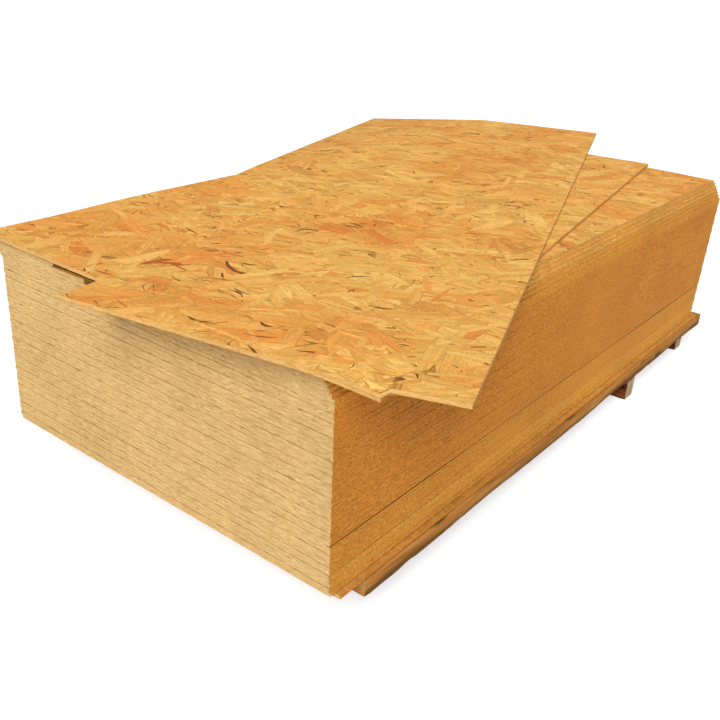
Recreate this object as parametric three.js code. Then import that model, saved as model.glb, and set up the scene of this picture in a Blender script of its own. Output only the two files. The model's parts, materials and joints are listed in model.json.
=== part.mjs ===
// A stack of oriented strand board sheets on timber dunnage, with three cut sheets lying askew on top.
// Millimetres, +Z up. X runs along the sheets' length, Y across their width.
import * as THREE from "three";

// ---- Sheets ----
const SHEET_LENGTH = 2500;
const SHEET_WIDTH = 1250;
const SHEET_THICKNESS = 12;
const STACK_COUNT = 50;

// Sheets that were stacked by machine still wander by a millimetre.
const STRAY_ALONG = 0.9;
const STRAY_ACROSS = 0.8;
// The turn in radians from one layer's stray to the next, so that no two neighbours stray alike.
const STRAY_TURN_ALONG = 2.4;
const STRAY_TURN_ACROSS = 1.7;
// The stack has turned a little on its way up: this many degrees in all, about its middle.
const TWIST = -0.5;

// The topmost sheets were pushed sideways one after the other, so they stand like a stair.
const FANNED_COUNT = 6;
const FAN_STEP_ACROSS = 5.5;
const FAN_STEP_ALONG = -2.5;
// The last sheet of the stack also slid out over the near end.
const TOP_SHEET_SLIP = -12;

// The first sheet stands a little out of the side, which shows as a ledge along the stack.
const FIRST_SHEET_SHIFT = -6;

// The cover sheet under the stack has slipped.
const COVER_ALONG = 20;
const COVER_ACROSS = -20;

// ---- Loose sheets: cut pieces, turned by degrees away from the stack's own direction ----
// The lower one is ripped to width and lies on the stack.
const LOWER_LENGTH = 2555;
const LOWER_WIDTH = 850;
const LOWER_ALONG = -31;
const LOWER_ACROSS = -126;
const LOWER_TURN = 9.9;
// The upper one is a strip that lies on the lower one's near end.
const UPPER_LENGTH = 1116;
const UPPER_WIDTH = 360;
const UPPER_ALONG = 25.7;
const UPPER_ACROSS = -302;
const UPPER_TURN = 20.15;
// The middle one also lies on the lower one, end to end with the strip and nearly in line with it.
const MIDDLE_LENGTH = 1930;
const MIDDLE_WIDTH = 1140;
const MIDDLE_TURN = 19.86;
const END_GAP = 0.6;
// It hangs over the stack's far side and bends down there. The bend starts a little inside that side and
// is spread over some width, and past it the sheet falls by a share of the way out.
const BEND_INSIDE = 24;
const BEND_SPREAD = 80;
const BEND_FALL = 0.105;
// How finely the bent sheet is divided.
const BEND_STEP = 50;

// ---- Stringers: planks along the length, under the cover sheet's two long edges ----
const STRINGER_WIDTH = 200;
const STRINGER_THICKNESS = 50;
const STRINGER_LENGTH = 2460;
const STRINGER_SETBACK = 115;
const STRINGER_OVERHANG = 25;
const STRINGER_EASE = 2;

// ---- Bearers: squared timbers across the width, standing on the floor ----
const BEARER_WIDTH = 70;
const BEARER_HEIGHT = 80;
const BEARER_SETBACK = 72;
const BEARER_OVERHANG = 25;
const LAST_BEARER_SETBACK = 4;
const BEARER_LENGTH = SHEET_WIDTH - BEARER_SETBACK;
const BEARER_EASE = 3;
// From the stack's near end to the first bearer's middle, and from each bearer's middle to the next one's.
const FIRST_BEARER = 225;
const FIRST_SPAN = 791;
const SECOND_SPAN = 791;
const LAST_SPAN = 619;
// Each bearer's middle from the stack's near end, and its end from the stack's near side.
const BEARERS = [
  { along: FIRST_BEARER, across: BEARER_SETBACK },
  { along: FIRST_BEARER + FIRST_SPAN, across: BEARER_SETBACK },
  { along: FIRST_BEARER + FIRST_SPAN + SECOND_SPAN, across: -BEARER_OVERHANG },
  { along: FIRST_BEARER + FIRST_SPAN + SECOND_SPAN + LAST_SPAN, across: LAST_BEARER_SETBACK },
];

// ---- Levels, from the floor up ----
const STRINGER_BOTTOM = BEARER_HEIGHT;
const COVER_BOTTOM = STRINGER_BOTTOM + STRINGER_THICKNESS;
const STACK_BOTTOM = COVER_BOTTOM + SHEET_THICKNESS;
const STACK_TOP = STACK_BOTTOM + STACK_COUNT * SHEET_THICKNESS;

const osb = new THREE.MeshStandardMaterial({ color: 0xd9a860, roughness: 0.75, metalness: 0 });
const sawnTimber = new THREE.MeshStandardMaterial({ color: 0xb07a45, roughness: 0.85, metalness: 0 });

// The working frame has the stack's near bottom corner at its x and y zero; the part's frame is centred.
const stack = new THREE.Group();

// A sheet of some length and width, whose near corner is at (x, y) on the level z, turned by some degrees
// about that corner.
function addSheet(name, length, width, x, y, z, turn = 0) {
  const geometry = new THREE.BoxGeometry(length, width, SHEET_THICKNESS);
  geometry.translate(length / 2, width / 2, SHEET_THICKNESS / 2);
  const sheet = new THREE.Mesh(geometry, osb);
  sheet.name = name;
  sheet.position.set(x, y, z);
  sheet.rotation.z = THREE.MathUtils.degToRad(turn);
  stack.add(sheet);
  return sheet;
}

// The place in the stack's frame of a point that lies so far along and across a turned sheet from its near
// corner (x, y).
function onSheet(x, y, turn, along, across) {
  const place = new THREE.Vector2(along, across);
  place.rotateAround(new THREE.Vector2(0, 0), THREE.MathUtils.degToRad(turn));
  return place.add(new THREE.Vector2(x, y));
}

// How far a bent sheet has come down at some distance past the bend's start: nothing before it, then a
// curve that ends in the straight fall.
function bendFall(past) {
  if (past <= 0) {
    return 0;
  }
  if (past >= BEND_SPREAD) {
    return BEND_FALL * (past - BEND_SPREAD / 2);
  }
  return (BEND_FALL * past * past) / (2 * BEND_SPREAD);
}

// Divides a sheet into cells and lets it hang down past the bend, which starts at the distance y from the
// stack's near side.
function bendSheet(sheet, length, width, y) {
  const cellsAlong = Math.ceil(length / BEND_STEP);
  const cellsAcross = Math.ceil(width / BEND_STEP);
  const geometry = new THREE.BoxGeometry(length, width, SHEET_THICKNESS, cellsAlong, cellsAcross, 1);
  geometry.translate(length / 2, width / 2, SHEET_THICKNESS / 2);
  sheet.updateMatrix();
  const points = geometry.attributes.position;
  const point = new THREE.Vector3();
  for (let i = 0; i < points.count; i++) {
    point.fromBufferAttribute(points, i);
    const past = point.clone().applyMatrix4(sheet.matrix).y - y;
    points.setZ(i, point.z - bendFall(past));
  }
  geometry.computeVertexNormals();
  sheet.geometry = geometry;
}

// A squared timber with eased long edges. It is extruded along Z and then laid along X.
function timberGeometry(length, width, height, ease) {
  const section = new THREE.Shape();
  section.moveTo(ease, 0);
  section.lineTo(width - ease, 0);
  section.lineTo(width, ease);
  section.lineTo(width, height - ease);
  section.lineTo(width - ease, height);
  section.lineTo(ease, height);
  section.lineTo(0, height - ease);
  section.lineTo(0, ease);
  section.closePath();
  const geometry = new THREE.ExtrudeGeometry(section, { depth: length, bevelEnabled: false });
  // The section's x becomes Y, its y becomes Z, and the extrusion runs along X.
  geometry.applyMatrix4(new THREE.Matrix4().set(0, 0, 1, 0, 1, 0, 0, 0, 0, 1, 0, 0, 0, 0, 0, 1));
  return geometry;
}

// ---- Bearers ----
BEARERS.forEach(({ along, across }, index) => {
  const geometry = timberGeometry(BEARER_LENGTH, BEARER_WIDTH, BEARER_HEIGHT, BEARER_EASE);
  const bearer = new THREE.Mesh(geometry, sawnTimber);
  bearer.name = "bearer_" + (index + 1);
  bearer.rotation.z = Math.PI / 2;
  bearer.position.set(along + BEARER_WIDTH / 2, across, 0);
  stack.add(bearer);
});

// ---- Stringers ----
const STRINGERS = [
  { name: "stringer_near", across: -STRINGER_OVERHANG },
  { name: "stringer_far", across: SHEET_WIDTH - STRINGER_WIDTH },
];
for (const { name, across } of STRINGERS) {
  const geometry = timberGeometry(STRINGER_LENGTH, STRINGER_WIDTH, STRINGER_THICKNESS, STRINGER_EASE);
  const stringer = new THREE.Mesh(geometry, sawnTimber);
  stringer.name = name;
  stringer.position.set(STRINGER_SETBACK, across, STRINGER_BOTTOM);
  stack.add(stringer);
}

// ---- The stack ----
addSheet("cover_sheet", SHEET_LENGTH, SHEET_WIDTH, COVER_ALONG, COVER_ACROSS, COVER_BOTTOM);
for (let layer = 1; layer <= STACK_COUNT; layer++) {
  const fanned = Math.max(0, layer - (STACK_COUNT - FANNED_COUNT));
  const slip = layer === STACK_COUNT ? TOP_SHEET_SLIP : 0;
  const strayX = STRAY_ALONG * Math.sin(STRAY_TURN_ALONG * layer);
  const strayY = STRAY_ACROSS * Math.sin(STRAY_TURN_ACROSS * layer);
  const shift = layer === 1 ? FIRST_SHEET_SHIFT : 0;
  // The near corner swings round the stack's middle with the twist.
  const turn = (TWIST * layer) / STACK_COUNT;
  const corner = new THREE.Vector2(0, 0);
  corner.rotateAround(new THREE.Vector2(SHEET_LENGTH / 2, SHEET_WIDTH / 2), THREE.MathUtils.degToRad(turn));
  const x = corner.x + strayX + FAN_STEP_ALONG * fanned + slip;
  const y = corner.y + strayY + FAN_STEP_ACROSS * fanned + shift;
  const z = STACK_BOTTOM + (layer - 1) * SHEET_THICKNESS;
  const name = "stack_sheet_" + String(layer).padStart(2, "0");
  addSheet(name, SHEET_LENGTH, SHEET_WIDTH, x, y, z, turn);
}

// ---- The loose sheets ----
addSheet("loose_sheet_lower", LOWER_LENGTH, LOWER_WIDTH, LOWER_ALONG, LOWER_ACROSS, STACK_TOP, LOWER_TURN);

const SECOND_LEVEL = STACK_TOP + SHEET_THICKNESS;
addSheet("loose_sheet_upper", UPPER_LENGTH, UPPER_WIDTH, UPPER_ALONG, UPPER_ACROSS, SECOND_LEVEL, UPPER_TURN);

const middleCorner = onSheet(UPPER_ALONG, UPPER_ACROSS, UPPER_TURN, UPPER_LENGTH + END_GAP, 0);
const middleSheet = addSheet("loose_sheet_middle", MIDDLE_LENGTH, MIDDLE_WIDTH, middleCorner.x, middleCorner.y,
  SECOND_LEVEL, MIDDLE_TURN);
// The bend starts a whole cell past the lower sheet, which carries the middle one up to its far corner.
const carried = onSheet(LOWER_ALONG, LOWER_ACROSS, LOWER_TURN, LOWER_LENGTH, LOWER_WIDTH).y;
const bendStart = Math.max(SHEET_WIDTH - BEND_INSIDE, carried + BEND_STEP * Math.SQRT2);
bendSheet(middleSheet, MIDDLE_LENGTH, MIDDLE_WIDTH, bendStart);

// ---- The part's frame: the middle of the whole outline at floor level ----
const outline = new THREE.Box3().setFromObject(stack, true);
const centre = outline.getCenter(new THREE.Vector3());
stack.position.set(-centre.x, -centre.y, 0);

const part = new THREE.Group();
part.add(stack);

export default part;
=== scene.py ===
# %% [markdown]
# # A pack of strand board
#
# The pack is fifty sheets of oriented strand board lying on a slipped cover sheet, two planks and four
# bearers, with three cut sheets thrown askew on top. The solids already hold the sizes. This file gives
# each piece the surface that the real one has: pressed strands, sawn edges, rough timber.

# %% Tools
import json
import math

import bmesh
import bpy
import numpy as np
from mathutils import Vector
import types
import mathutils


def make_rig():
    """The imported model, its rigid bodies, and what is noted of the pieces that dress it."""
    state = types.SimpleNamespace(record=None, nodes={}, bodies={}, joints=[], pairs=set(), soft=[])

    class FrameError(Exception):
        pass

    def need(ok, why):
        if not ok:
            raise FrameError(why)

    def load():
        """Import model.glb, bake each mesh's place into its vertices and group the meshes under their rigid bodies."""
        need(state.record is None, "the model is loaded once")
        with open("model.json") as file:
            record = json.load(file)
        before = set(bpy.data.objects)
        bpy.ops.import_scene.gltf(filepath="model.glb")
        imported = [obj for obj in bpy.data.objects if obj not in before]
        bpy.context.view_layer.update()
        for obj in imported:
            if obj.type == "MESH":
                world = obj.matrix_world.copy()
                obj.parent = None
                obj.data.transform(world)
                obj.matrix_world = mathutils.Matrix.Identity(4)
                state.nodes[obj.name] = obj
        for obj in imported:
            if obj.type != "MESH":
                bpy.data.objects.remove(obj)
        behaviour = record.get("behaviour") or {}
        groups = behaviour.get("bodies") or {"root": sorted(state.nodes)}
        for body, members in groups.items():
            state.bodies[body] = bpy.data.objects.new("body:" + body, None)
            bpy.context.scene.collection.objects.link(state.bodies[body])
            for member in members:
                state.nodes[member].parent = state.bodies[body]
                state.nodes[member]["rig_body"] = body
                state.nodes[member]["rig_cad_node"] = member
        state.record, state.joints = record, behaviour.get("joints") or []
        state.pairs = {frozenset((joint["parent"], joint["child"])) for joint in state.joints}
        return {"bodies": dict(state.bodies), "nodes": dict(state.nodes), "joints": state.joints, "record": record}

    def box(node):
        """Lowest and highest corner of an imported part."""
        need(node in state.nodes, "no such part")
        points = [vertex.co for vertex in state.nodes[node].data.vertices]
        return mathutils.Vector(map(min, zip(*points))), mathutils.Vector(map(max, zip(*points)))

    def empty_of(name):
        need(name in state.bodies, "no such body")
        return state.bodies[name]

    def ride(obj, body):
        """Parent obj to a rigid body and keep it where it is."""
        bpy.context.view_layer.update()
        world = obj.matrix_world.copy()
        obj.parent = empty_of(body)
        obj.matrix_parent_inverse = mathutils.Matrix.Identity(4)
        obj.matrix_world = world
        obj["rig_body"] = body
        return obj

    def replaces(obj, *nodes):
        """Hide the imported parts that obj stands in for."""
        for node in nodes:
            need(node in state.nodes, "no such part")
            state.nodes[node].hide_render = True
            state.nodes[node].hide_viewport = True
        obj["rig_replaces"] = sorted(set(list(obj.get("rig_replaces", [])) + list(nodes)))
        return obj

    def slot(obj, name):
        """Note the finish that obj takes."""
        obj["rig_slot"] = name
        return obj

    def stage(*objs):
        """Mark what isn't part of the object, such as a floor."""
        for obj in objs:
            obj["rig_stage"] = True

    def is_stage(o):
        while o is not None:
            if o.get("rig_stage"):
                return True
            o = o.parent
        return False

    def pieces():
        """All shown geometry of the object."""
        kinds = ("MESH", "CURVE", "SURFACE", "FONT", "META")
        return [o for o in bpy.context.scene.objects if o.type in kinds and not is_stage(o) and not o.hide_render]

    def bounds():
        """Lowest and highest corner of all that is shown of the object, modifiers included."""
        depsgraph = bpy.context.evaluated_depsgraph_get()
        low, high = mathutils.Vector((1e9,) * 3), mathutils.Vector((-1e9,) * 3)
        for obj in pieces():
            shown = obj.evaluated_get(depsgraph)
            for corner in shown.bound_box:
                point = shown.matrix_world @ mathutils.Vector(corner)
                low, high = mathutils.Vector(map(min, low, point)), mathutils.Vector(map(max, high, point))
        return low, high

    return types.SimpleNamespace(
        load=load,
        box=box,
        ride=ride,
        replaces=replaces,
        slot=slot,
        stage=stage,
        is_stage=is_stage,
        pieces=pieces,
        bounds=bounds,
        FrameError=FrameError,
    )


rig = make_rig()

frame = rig.load()
nodes = frame["nodes"]
cad_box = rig.bounds()
MM = 0.001
print("solids in the frame:", len(nodes))

# %% [markdown]
# ## Small helpers
#
# Colours are written as sRGB hex, as a paint chart gives them, and Blender wants linear light, so one
# function turns the one into the other. A pattern's scale says how many of its features fit in a metre, so
# another works it out from a feature's real size. A third adds one node to a material with its settings and
# links, and two more do what most finishes need: shade a colour by a pattern, and hand the result to the
# shader.


# %% Colour, scale and node helpers
def tint(code):
    """Hex to linear: each channel c becomes c / 12.92 when dark, else ((c + 0.055) / 1.055) to the power
    2.4."""
    channels = np.array([int(code[i : i + 2], 16) for i in (1, 3, 5)]) / 255
    linear = np.where(channels <= 0.04045, channels / 12.92, ((channels + 0.055) / 1.055) ** 2.4)
    return [*linear.tolist(), 1.0]


def fits(size):
    """How many features of a size in millimetres fit in a metre: 1000 / size."""
    return 1000 / size


def add(tree, kind, values=None, links=None, stops=None, **settings):
    """Adds a node: values go on its inputs, links are (input, socket), stops are a colour ramp's (place,
    hex) marks, and settings are its own properties."""
    node = tree.nodes.new(kind)
    for name, value in settings.items():
        setattr(node, name, value)
    for name, value in (values or {}).items():
        node.inputs[name].default_value = value
    for name, socket in (links or {}).items():
        tree.links.new(socket, node.inputs[name])
    if stops:
        marks = node.color_ramp.elements
        for mark, (place, code) in ((marks[0], stops[0]), (marks[-1], stops[-1])):
            mark.position = place
            mark.color = tint(code)
        for place, code in stops[1:-1]:
            marks.new(place).color = tint(code)
    return node


def new_material(name):
    """An empty Principled material: (material, its tree, its shader)."""
    material = bpy.data.materials.new(name)
    material.use_nodes = True
    tree = material.node_tree
    return material, tree, tree.nodes["Principled BSDF"]


def shade_by(tree, colour, pattern, seen, made):
    """A colour made darker and lighter by a pattern, whose values between the two seen ones become a
    brightness between the two made ones."""
    shade = add(tree, "ShaderNodeMapRange",
                {"From Min": seen[0], "From Max": seen[1], "To Min": made[0], "To Max": made[1]},
                {"Value": pattern})
    shaded = add(tree, "ShaderNodeVectorMath", {}, {0: colour, "Scale": shade.outputs["Result"]},
                 operation="SCALE")
    return shaded.outputs["Vector"]


def complete(tree, shader, colour, roughness, specular, height=None, strength=0, depth=0):
    """Gives a finish its colour, roughness and specular level, and a bump of some strength and depth where it
    has a height."""
    tree.links.new(colour, shader.inputs["Base Color"])
    shader.inputs["Roughness"].default_value = roughness
    shader.inputs["Specular IOR Level"].default_value = specular
    if height is not None:
        bump = add(tree, "ShaderNodeBump", {"Strength": strength, "Distance": depth}, {"Height": height})
        tree.links.new(bump.outputs["Normal"], shader.inputs["Normal"])


print("golden pine in linear light:", [round(c, 3) for c in tint("#EFB55A")])

# %% [markdown]
# ## Camera
#
# The camera stands a little above the pack, off its near corner. Its place and turn were worked out from
# the pack's own corners, with the sheets at 2500 by 1250 mm. The lens is written for a 36 mm wide film.

# %% Camera
FILM_WIDTH = 36
FOCAL_LENGTH = 44.32
CAMERA_PLACE = (-2.66809, -1.76788, 1.5551)
CAMERA_TURN = (64.563, -3.375, -52.008)
lens = bpy.data.cameras.new("camera")
lens.sensor_width = FILM_WIDTH
lens.lens = FOCAL_LENGTH
camera = bpy.data.objects.new("camera", lens)
camera.location = CAMERA_PLACE
camera.rotation_euler = [math.radians(a) for a in CAMERA_TURN]
scene = bpy.context.scene
scene.collection.objects.link(camera)
scene.camera = camera
print("camera", tuple(round(x, 3) for x in camera.location))

# %% [markdown]
# ## Floor
#
# The pack stands on a plain white studio floor. To the camera, and to shiny things, the floor gives off a
# little light of its own, so it reads as white paper and still keeps the pack's shadow. Light Path tells
# the floor who is looking; its light never falls on the pack.

# %% Floor
FLOOR_REACH = 30
FLOOR_LIFT = 0.55
floor_corners = [(-FLOOR_REACH, -FLOOR_REACH, 0), (FLOOR_REACH, -FLOOR_REACH, 0),
                 (FLOOR_REACH, FLOOR_REACH, 0), (-FLOOR_REACH, FLOOR_REACH, 0)]
floor_mesh = bpy.data.meshes.new("floor")
floor_mesh.from_pydata(floor_corners, [], [(0, 1, 2, 3)])
floor = bpy.data.objects.new("floor", floor_mesh)
scene.collection.objects.link(floor)
white_floor, tree, shader = new_material("white_studio_floor")
shader.inputs["Base Color"].default_value = tint("#D4D4D4")
shader.inputs["Roughness"].default_value = 0.9
shader.inputs["Emission Color"].default_value = (1, 1, 1, 1)
path = add(tree, "ShaderNodeLightPath")
seen = add(tree, "ShaderNodeMath", {}, {0: path.outputs["Is Camera Ray"], 1: path.outputs["Is Glossy Ray"]},
           operation="MAXIMUM")
seen = add(tree, "ShaderNodeMath", {}, {0: seen.outputs[0], 1: path.outputs["Is Transmission Ray"]},
           operation="MAXIMUM")
lift = add(tree, "ShaderNodeMath", {1: FLOOR_LIFT}, {0: seen.outputs[0]}, operation="MULTIPLY")
tree.links.new(lift.outputs[0], shader.inputs["Emission Strength"])
floor_mesh.materials.append(white_floor)
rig.stage(floor)
print("floor: %d m each way" % FLOOR_REACH)

# %% [markdown]
# ## Light
#
# Two lights make a plain soft daylight. The sky is even and white, and shows as white to the camera. A soft
# sun stands off the near end: it lights the ends and the faces, and the loose sheets throw their broad soft
# shadow down the long side. A sun is as strong at one end of the pack as at the other, which a lamp near by
# would not be.

# %% Light
SKY_LEVEL = 0.32
SUN_FROM = (-18.3, -8.1, 16.6)
SUN_ANGLE = math.radians(36)
SUN_STRENGTH = 3.4
world = bpy.data.worlds.new("even_sky")
scene.world = world
world.use_nodes = True
sky = world.node_tree
sky_shader = sky.nodes["Background"]
sky_shader.inputs["Color"].default_value = (1, 1, 1, 1)
sky_path = add(sky, "ShaderNodeLightPath")
sky_seen = add(sky, "ShaderNodeMath", {}, {0: sky_path.outputs["Is Camera Ray"],
                                           1: sky_path.outputs["Is Transmission Ray"]}, operation="MAXIMUM")
sky_lift = add(sky, "ShaderNodeMath", {1: 1 - SKY_LEVEL, 2: SKY_LEVEL}, {0: sky_seen.outputs[0]},
               operation="MULTIPLY_ADD")
sky.links.new(sky_lift.outputs[0], sky_shader.inputs["Strength"])

sun_light = bpy.data.lights.new("soft_sun", "SUN")
sun_light.angle = SUN_ANGLE
sun_light.energy = SUN_STRENGTH
sun = bpy.data.objects.new("soft_sun", sun_light)
sun.location = SUN_FROM
sun.rotation_euler = Vector(SUN_FROM).to_track_quat("Z", "Y").to_euler()
scene.collection.objects.link(sun)
scene.view_settings.view_transform = "Standard"
print("lamps:", [o.name for o in scene.objects if o.type == "LIGHT"])

# %% [markdown]
# ## Where each sheet lies
#
# A sheet's solid is a slab that may be turned, and one is bent. The near corner, the two directions, the
# sizes and the bend are read back from the solid's own points, so that everything built below sits exactly
# where the solid is. The near corner is the one where x + y is least, and the far one along is where x - y
# is greatest.


# %% Reading a sheet
def slab(name):
    """The slab's near corner, unit directions, length, width and levels, and how far it falls against y."""
    mesh = nodes[name].data
    points = np.empty(len(mesh.vertices) * 3)
    mesh.vertices.foreach_get("co", points)
    points = points.reshape(-1, 3)
    plan, which = np.unique(np.round(points[:, :2], 6), axis=0, return_inverse=True)
    highest, lowest = np.full(len(plan), -np.inf), np.full(len(plan), np.inf)
    np.maximum.at(highest, which.ravel(), points[:, 2])
    np.minimum.at(lowest, which.ravel(), points[:, 2])
    first = (plan[:, 0] + plan[:, 1]).argmin()
    near, far = plan[first], plan[(plan[:, 0] - plan[:, 1]).argmax()]
    length = float(np.linalg.norm(far - near))
    along = (far - near) / length
    across = np.array([-along[1], along[0]])
    width = float(((plan - near) @ across).max())
    by_y = np.argsort(plan[:, 1])
    fall = (plan[by_y, 1], highest[first] - highest[by_y])
    return {"near": near, "along": along, "across": across, "length": length, "width": width,
            "bottom": float(lowest[first]), "top": float(highest[first]), "fall": fall}


def to_place(sheet, u, v):
    """Plan places in the frame from distances u along and v across: near + u * along + v * across."""
    return sheet["near"] + u[..., None] * sheet["along"] + v[..., None] * sheet["across"]


def local(plan, sheet):
    """Distances along and across a sheet from its near corner: (plan - near) times each direction."""
    return (plan - sheet["near"]) @ sheet["along"], (plan - sheet["near"]) @ sheet["across"]


stack_names = sorted(n for n in nodes if n.startswith("stack_sheet_"))
loose_names = ["loose_sheet_lower", "loose_sheet_middle", "loose_sheet_upper"]
slabs = {n: slab(n) for n in [*stack_names, *loose_names, "cover_sheet"]}
top_sheet = slabs[stack_names[-1]]
lower_sheet, middle_sheet, strip = (slabs[n] for n in loose_names)
for n in loose_names:
    s = slabs[n]
    print(n, "%.0f x %.0f mm" % (s["length"] / MM, s["width"] / MM),
          "turned %.1f degrees" % math.degrees(math.atan2(s["along"][1], s["along"][0])),
          "falls %.0f mm" % (s["fall"][1].max() / MM))

# %% [markdown]
# ## Points round a sheet
#
# A sawn sheet is a slab, but no saw leaves it perfect. The body could be the plain solid with a bump in its
# material, but from a low angle that stays smooth, so the edge is made: rings of points run round the
# sheet. A sheet that sags needs points inside its faces too, so its two caps are grids that meet the rings.

# %% Points round a sheet
# How far apart the points stand round a flat sheet, in one that sags, and in one that bends sharply.
RIM_STEP = 14 * MM
SAG_STEP = 25 * MM
FINE_STEP = 12.5 * MM


def rim(length, width, step):
    """Points round a rectangle, about a step apart: (places, inward directions, side of each, its two
    counts). Sides 0 to 3 are the near long side, the far end, the far long side and the near end."""
    places, inward, side = [], [], []
    corners = np.array([(0, 0), (length, 0), (length, width), (0, width)])
    counts = [max(2, int(round(size / step))) for size in (length, width)]
    for i in range(4):
        start, end = corners[i], corners[(i + 1) % 4]
        count = counts[i % 2]
        share = np.arange(count)[:, None] / count
        direction = (end - start) / np.linalg.norm(end - start)
        normal = np.array([-direction[1], direction[0]])
        turn = np.tile(normal, (count, 1))
        turn[0] = normal + direction
        places.append(start + share * (end - start))
        inward.append(turn)
        side.append(np.full(count, i))
    return np.vstack(places), np.vstack(inward), np.concatenate(side), counts


def ring_walls(count):
    """Quads between four rings of count points: i and the next one j on a ring, then j and i on the next
    ring."""
    i = np.arange(count)
    j = (i + 1) % count
    low, high = count * np.arange(3)[:, None], count * np.arange(1, 4)[:, None]
    return np.stack([low + i, low + j, high + j, high + i], -1).reshape(-1, 4)


def cap_grid(counts, ring, inner):
    """Quads of a cap: an array of point numbers whose border is the ring and whose inside is numbered on
    from inner; each quad is (i, j), (i + 1, j), (i + 1, j + 1), (i, j + 1)."""
    a, b = counts
    number = np.empty((a + 1, b + 1), int)
    number[1:a, 1:b] = inner + np.arange((a - 1) * (b - 1)).reshape(a - 1, b - 1)
    number[:a, 0] = ring[:a]
    number[a, :b] = ring[a : a + b]
    number[a:0:-1, b] = ring[a + b : 2 * a + b]
    number[0, b:0:-1] = ring[2 * a + b :]
    return np.stack([number[:-1, :-1], number[1:, :-1], number[1:, 1:], number[:-1, 1:]], -1).reshape(-1, 4)


print("points round a sheet of the pack:", len(rim(top_sheet["length"], top_sheet["width"], RIM_STEP)[0]))

# %% [markdown]
# ## Broken arrises
#
# An arris, the sharp line where two faces meet, never survives the saw and the fork truck: it is broken by
# half a millimetre or so, and here and there a flake has come away. That is why a dark line shows between
# any two sheets of a pack; on the ends its colour is painted shade as well. The long sides are cut along
# the strands, so they break less than the ends.
# Where a joint is open wide, both arrises that face it are broken further, by a slow wave.

# %% Broken arrises
ARRIS = 0.62 * MM
ARRIS_CHANGE = 0.3 * MM
CHANGE_LIMITS = (-1.5, 2)
CHIP_SHARE = 0.035
CHIP_DEPTH = 3.0 * MM
SMALLEST_CHIP = 0.2
LONG_SIDE_ARRIS = 0.4
# The wave along a wide joint: its height, and the radians that each of its two sines turns in a metre.
WAVE_HEIGHT = 0.35
WAVES = (5.3, 1.9)


def broken_arris(side, rng):
    """How far an arris is broken at each point: ARRIS + a change with a normal spread + now and then a
    chip, all of it times LONG_SIDE_ARRIS on the long sides."""
    count = len(side)
    chipped = rng.uniform(0, 1, count) < CHIP_SHARE
    change = ARRIS_CHANGE * rng.normal(0, 1, count).clip(*CHANGE_LIMITS)
    change += chipped * CHIP_DEPTH * rng.uniform(SMALLEST_CHIP, 1, count)
    return (ARRIS + change) * np.where(side % 2 == 0, LONG_SIDE_ARRIS, 1)


def open_arris(opened, places, side):
    """How much more the near long side's arris is broken along a wide joint: opened times 1 + WAVE_HEIGHT *
    sin(u * the first wave) * sin(u * the second wave + 1)."""
    u = places[:, 0]
    return opened * (1 + WAVE_HEIGHT * np.sin(u * WAVES[0]) * np.sin(u * WAVES[1] + 1)) * (side == 0)


tried = broken_arris(np.ones(999), np.random.default_rng(1))
print("an end's arris is broken by %.1f mm" % (tried.mean() / MM))

# %% [markdown]
# ## The body of a sheet
#
# Four rings make the edge: the two outer ones stand at the faces and are pulled in by the broken arris, and
# the two between them follow the saw's wander. The walls of a deep break in the near end are painted as dark
# as an open joint's, as painted shade. Each face of the body carries the number of its finish.

# %% The body of a sheet
SAW_WANDER = 0.35 * MM
# A broken arris is this much as high as it is deep, and one at a wide joint this many times as deep as
# high.
ARRIS_HEIGHT = 0.7
OPEN_INSET = 2
BREAK_DEPTH = 14 * MM
DEEP_BREAK = 4 * MM
# The finishes as numbers, in the order of the materials that are made further down.
(FACE, END, SIDE, ARRIS_PAINTED_SHADE, CUT_EDGE, STRAND, MAT, LEDGE, TOP_SIDE, OPEN_JOINT, MID_SIDE,
 LOW_SIDE) = range(12)


def wall_finishes(side, edges, deep, open_joint):
    """The finishes of the low, middle and high walls: the edge's own, and on the low and high walls that of
    a broken arris on the ends and of an open joint beside one."""
    # The walls of a deep break, and the low and high walls beside an open joint, take the open joint's finish: painted
    # shade, with dust at the joints.
    wall = np.where(deep, OPEN_JOINT, np.array(edges)[side])
    # On the ends the low and high walls take the arris finish, which is painted shade.
    broken = np.where(wall == END, ARRIS_PAINTED_SHADE, wall)
    low, high = (np.where((side == 0) & (opened > 0), OPEN_JOINT, broken) for opened in open_joint)
    return np.concatenate([low, wall, high])


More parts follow.
